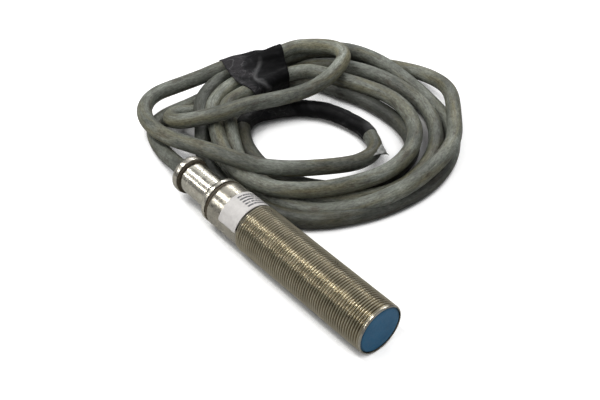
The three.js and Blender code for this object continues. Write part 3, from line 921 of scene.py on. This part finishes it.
def face_finish():
    n = Nodes("blue_face")
    place = n.place()
    cloud = n.noise(place, 0.25, 5, 0.6)
    colour = n.ramp(cloud, [(0.3, (0.024, 0.150, 0.305)), (0.55, (0.029, 0.172, 0.345)),
                            (0.8, (0.040, 0.200, 0.385))])
    mark = n.span(n.noise(n.place(None, (1, 0.35, 1.6)), 1.3, 5, 0.75), 0.62, 0.74, 0, 0.45)
    colour = n.mix(mark, colour, (0.105, 0.15, 0.20))
    rim = n.add("ShaderNodeAttribute", attribute_name="turned").outputs["Vector"]
    edge = n.span(n.part_of(rim, 2), FRONT_X - 0.12, FRONT_X - 0.02, 1, 0)
    colour = n.mix(n.math("MULTIPLY", edge, 0.55), colour, (0.014, 0.080, 0.150))
    n.set(colour=colour, roughness=n.span(n.noise(place, 1.1, 4), 0.3, 0.7, 0.34, 0.52), specular=0.4)
    n.raise_(n.noise(place, 3.5, 5, 0.7), 0.03, 0.5)
    return n.material


def rubber_finish():
    n = Nodes("seal_rubber")
    place = n.place()
    mottle = n.noise(place, 0.8, 5, 0.65)
    colour = n.ramp(mottle, [(0.3, (0.045, 0.035, 0.022)), (0.7, (0.100, 0.080, 0.053))])
    n.set(colour=colour, roughness=n.span(n.noise(place, 1.3, 4), 0.3, 0.7, 0.5, 0.75), specular=0.35)
    n.raise_(n.noise(place, 2.5, 5, 0.7), 0.08, 0.6)
    return n.material


def label_finish():
    """Off-white foil with rows of short dark marks; they're only dashes."""
    n = Nodes("label_foil")
    flat = n.place("label")
    around, along = n.part_of(flat, 0), n.part_of(flat, 2)
    base = n.ramp(n.noise(flat, 0.6, 5, 0.6), [(0.3, (0.58, 0.56, 0.55)), (0.7, (0.70, 0.68, 0.665))])
    row = n.math("FRACT", n.math("DIVIDE", n.math("SUBTRACT", along, 0.9), 1.4), 0)
    in_row = n.math("LESS_THAN", n.math("ABSOLUTE", n.math("SUBTRACT", row, 0.5), 0), 0.27)
    inside = n.math("MULTIPLY", n.math("GREATER_THAN", along, 0.9), n.math("LESS_THAN", along, 7.9))
    dashes = n.noise(n.place("label", (1.0, 1, 0.35)), 2.3, 2, 0.5)
    strokes = n.noise(n.place("label", (1.0, 1, 0.8)), 5.5, 2, 0.5)
    ink = n.math("MULTIPLY", n.span(dashes, 0.36, 0.42), n.span(strokes, 0.34, 0.42))
    started = n.span(around, -1.2, -0.6)
    ink = n.math("MULTIPLY", n.math("MULTIPLY", ink, in_row), n.math("MULTIPLY", inside, started))
    colour = n.mix(n.math("MULTIPLY", ink, 0.97), base, (0.045, 0.045, 0.055))
    stain = n.span(n.noise(flat, 0.35, 6, 0.7), 0.58, 0.74, 0, 0.35)
    colour = n.mix(stain, colour, (0.42, 0.38, 0.31))
    n.set(colour=colour, roughness=n.span(n.noise(flat, 1.4, 4), 0.3, 0.7, 0.34, 0.5), specular=0.45)
    n.raise_(n.noise(flat, 1.2, 4, 0.6), 0.03, 0.5)
    return n.material


def plain_finish(name, dark, light, scale, metallic, rough_low, rough_high, bump, stretch=(1, 1, 1)):
    """A moulded, wound or pressed finish with mottling at the given scale."""
    n = Nodes(name)
    place = n.place(None, stretch)
    mottle = n.noise(place, scale, 5, 0.65)
    colour = n.ramp(mottle, [(0.3, dark), (0.7, light)])
    rough = n.span(n.noise(place, scale * 2, 4), 0.3, 0.7, rough_low, rough_high)
    n.set(colour=colour, metallic=metallic, roughness=rough)
    n.raise_(n.noise(place, scale * 4, 5, 0.7), bump, 0.6)
    return n.material


coat(sleeve, thread_finish())
plain_metal = polished_finish("plain_sleeve", (0.52, 0.49, 0.42), 0.2, 0.32, 3.0)
sleeve.data.materials.append(plain_metal)
for polygon in sleeve.data.polygons:
    if not (THREAD_START_X + 0.15) * MM < polygon.center.x < (THREAD_END_X + 0.1) * MM:
        polygon.material_index = 1
coat(bushing, polished_finish("polished_bushing", (0.72, 0.69, 0.60), 0.17, 0.28, 2.0))
coat(collar, polished_finish("satin_collar", (0.60, 0.57, 0.50), 0.2, 0.32, 3.0))
coat(cap, face_finish())
rubber = rubber_finish()
coat(sleeve_seal, rubber)
coat(collar_seal, rubber)
coat(foil, label_finish())

INSIDE = {
    "cable_grommet": ("grommet_rubber", (0.012, 0.012, 0.012), (0.03, 0.03, 0.03), 0.9, 0, 0.5, 0.75, 0.08),
    "ferrite_core": ("ferrite", (0.030, 0.030, 0.033), (0.065, 0.065, 0.070), 1.8, 0, 0.5, 0.7, 0.06),
    "coil_bobbin": ("bobbin", (0.66, 0.63, 0.56), (0.80, 0.78, 0.71), 0.5, 0, 0.35, 0.5, 0.02),
    "circuit_board": ("board_laminate", (0.02, 0.11, 0.045), (0.035, 0.17, 0.07), 1.1, 0, 0.3, 0.45, 0.03),
    "potting_compound": ("potting_resin", (0.045, 0.028, 0.018), (0.085, 0.055, 0.036), 0.4, 0, 0.25, 0.5,
                         0.05),
}
for node, settings in INSIDE.items():
    coat(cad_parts[node], plain_finish(*settings))

epoxy = plain_finish("chip_epoxy", (0.012, 0.012, 0.013), (0.028, 0.028, 0.030), 1.6, 0, 0.4, 0.6, 0.03)
for node in ("oscillator_ic", "output_transistor", "tuning_resistor", "feedback_resistor", "polarity_diode",
             "clamp_diode"):
    coat(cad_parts[node], epoxy)
ceramic = plain_finish("chip_ceramic", (0.26, 0.17, 0.09), (0.38, 0.26, 0.15), 1.4, 0, 0.4, 0.55, 0.03)
for node in ("resonance_capacitor", "buffer_capacitor"):
    coat(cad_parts[node], ceramic)
copper = plain_finish("copper_wire", (0.62, 0.26, 0.10), (0.86, 0.42, 0.20), 1.2, 1.0, 0.22, 0.38, 0.05,
                      (4, 1, 1))
for node in ("sensing_coil", "coil_lead_start", "coil_lead_end"):
    coat(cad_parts[node], copper)
CORES = {
    "conductor_brown": ("core_brown", (0.090, 0.035, 0.015), (0.130, 0.055, 0.025)),
    "conductor_blue": ("core_blue", (0.020, 0.090, 0.260), (0.035, 0.130, 0.340)),
    "conductor_black": ("core_black", (0.010, 0.010, 0.011), (0.024, 0.024, 0.026)),
}
for node, (name, dark, light) in CORES.items():
    coat(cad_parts[node], plain_finish(name, dark, light, 0.9, 0, 0.35, 0.55, 0.03))

# ---- floor and light ---------------------------------------------------------------------------------------


def floor(name, height, dark, light, glow):
    size, cells = 14.0, 28
    verts, faces = [], []
    for i in range(cells + 1):
        for j in range(cells + 1):
            verts.append((-size / 2 + size * i / cells, -size / 2 + size * j / cells, height))
    for i in range(cells):
        for j in range(cells):
            k = i * (cells + 1) + j
            faces.append((k, k + cells + 1, k + cells + 2, k + 1))
    piece = mesh_object(name, verts, faces)
    n = Nodes(name)
    colour = n.ramp(n.noise(n.place(), 0.02, 3), [(0.3, dark), (0.7, light)])
    n.set(colour=colour, roughness=0.9, specular=0.1)
    n.shader.inputs["Emission Color"].default_value = (1, 1, 1, 1)
    n.shader.inputs["Emission Strength"].default_value = glow
    if glow:
        # painted shade: the paper's glow fades out in the narrow gaps between the strands, where the ambient
        # occlusion is low
        open_sky = n.add("ShaderNodeAmbientOcclusion", samples=8)
        open_sky.inputs["Distance"].default_value = 16 * MM
        light_in = n.span(open_sky.outputs["AO"], 0.36, 0.5)
        n.link(n.math("MULTIPLY", light_in, glow), n.shader.inputs["Emission Strength"])
    coat(piece, n.material)
    return piece


# the seen floor is lit paper; the bench under it is what the object and the light meet
paper = floor("floor", -0.0001, (0.52, 0.52, 0.52), (0.56, 0.56, 0.56), 0.72)
paper.visible_diffuse = False
paper.visible_glossy = False
paper.visible_shadow = False
bench = floor("bench", -0.0003, (0.44, 0.44, 0.43), (0.48, 0.48, 0.47), 0.0)
bench.visible_camera = False


def backdrop():
    """A pale dome behind everything, seen only by the camera."""
    rings, sides, radius = 12, 48, 6.9
    verts, faces = [], []
    for i in range(rings + 1):
        a = math.pi / 2 * i / rings
        for j in range(sides):
            b = 2 * math.pi * j / sides
            ring = radius * math.cos(a)
            verts.append((ring * math.cos(b), ring * math.sin(b), radius * math.sin(a) - 0.2))
    for i in range(rings):
        for j in range(sides):
            k = (j + 1) % sides
            faces.append((i * sides + j, i * sides + k, (i + 1) * sides + k, (i + 1) * sides + j))
    piece = mesh_object("backdrop", verts, faces)
    n = Nodes("backdrop_paper")
    n.set(colour=(0.1, 0.1, 0.1), roughness=0.9, specular=0.0)
    n.shader.inputs["Emission Color"].default_value = (1, 1, 1, 1)
    n.shader.inputs["Emission Strength"].default_value = 0.9
    coat(piece, n.material)
    return piece


dome = backdrop()
dome.visible_diffuse = False
dome.visible_glossy = False
dome.visible_shadow = False
dome.visible_transmission = False


MIDDLE = (-0.02, 0.03, 0.0)    # what the lights face


def soft_light(name, at, length, width, power, tint=(1, 1, 1)):
    """A long softbox: its length lies along X, and it faces the object."""
    data = bpy.data.lights.new(name, "AREA")
    data.shape = "RECTANGLE"
    data.size, data.size_y = length, width
    data.energy = power
    data.color = tint
    light = bpy.data.objects.new(name, data)
    back = (Vector(at) - Vector(MIDDLE)).normalized()
    along = (Vector((1, 0, 0)) - back * back.x).normalized()
    facing = Matrix((along, back.cross(along), back)).transposed()
    light.matrix_world = Matrix.Translation(at) @ facing.to_4x4()
    scene.collection.objects.link(light)


soft_light("key", (-0.35, -0.30, 1.03), 1.2, 0.07, 8, (1.0, 0.99, 0.965))
soft_light("back", (-0.45, 0.80, 0.85), 1.3, 1.1, 3.4)
soft_light("side", (-0.35, -0.90, 0.68), 1.2, 0.06, 4.2, (1.0, 0.99, 0.965))
soft_light("rim", (-0.35, 0.80, 0.72), 1.2, 0.05, 2.8)
soft_light("fill", (0.80, 0.25, 0.30), 0.7, 0.5, 0.8)

world = bpy.data.worlds.new("studio")
world.use_nodes = True
world.node_tree.nodes["Background"].inputs["Color"].default_value = (0.97, 0.98, 1.0, 1)
world.node_tree.nodes["Background"].inputs["Strength"].default_value = 0.17
scene.world = world
